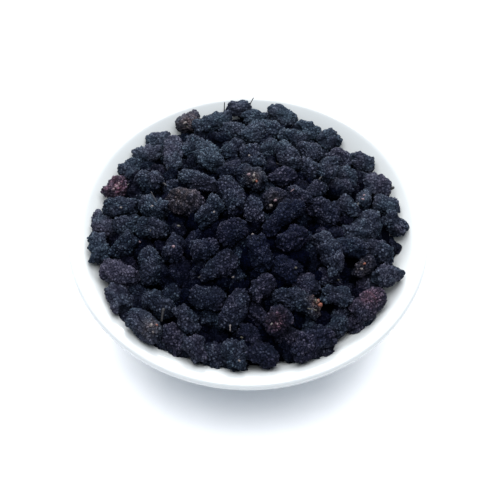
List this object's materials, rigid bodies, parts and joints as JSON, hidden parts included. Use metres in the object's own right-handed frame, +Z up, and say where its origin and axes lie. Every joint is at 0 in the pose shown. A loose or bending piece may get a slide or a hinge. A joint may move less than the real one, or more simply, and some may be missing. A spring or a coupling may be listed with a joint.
{
  "type": "bowl of dried mulberries",
  "caption": "Wide white glazed bowl with a flat lip and a foot ring, heaped above its rim with dried black mulberries.",
  "frame": {"origin": "on the table, on the axis of the bowl", "axes": "+Z up along the axis of the bowl, -Y towards the viewer of the picture, +X to the viewer's right"},
  "size_m": [0.15, 0.15, 0.0668],
  "materials": {
    "glaze": "gloss",
    "black_fruit": "matte",
    "brown_fruit": "matte",
    "red_fruit": "matte",
    "grey_fruit": "matte"
  },
  "bodies": {
    "root": {"bowl": "glaze", "mulberry_heap": "black_fruit", "mulberry_brown_seeded": "brown_fruit", "mulberry_red_left": "red_fruit", "mulberry_brown_large": "brown_fruit", "mulberry_brown_top": "brown_fruit", "mulberry_grey_small": "grey_fruit", "mulberry_pale_seeded": "grey_fruit", "mulberry_orange_tipped": "brown_fruit", "mulberry_red_right": "red_fruit", "mulberry_purple": "red_fruit", "mulberry_seeded_right": "brown_fruit"}
  },
  "joints": []
}
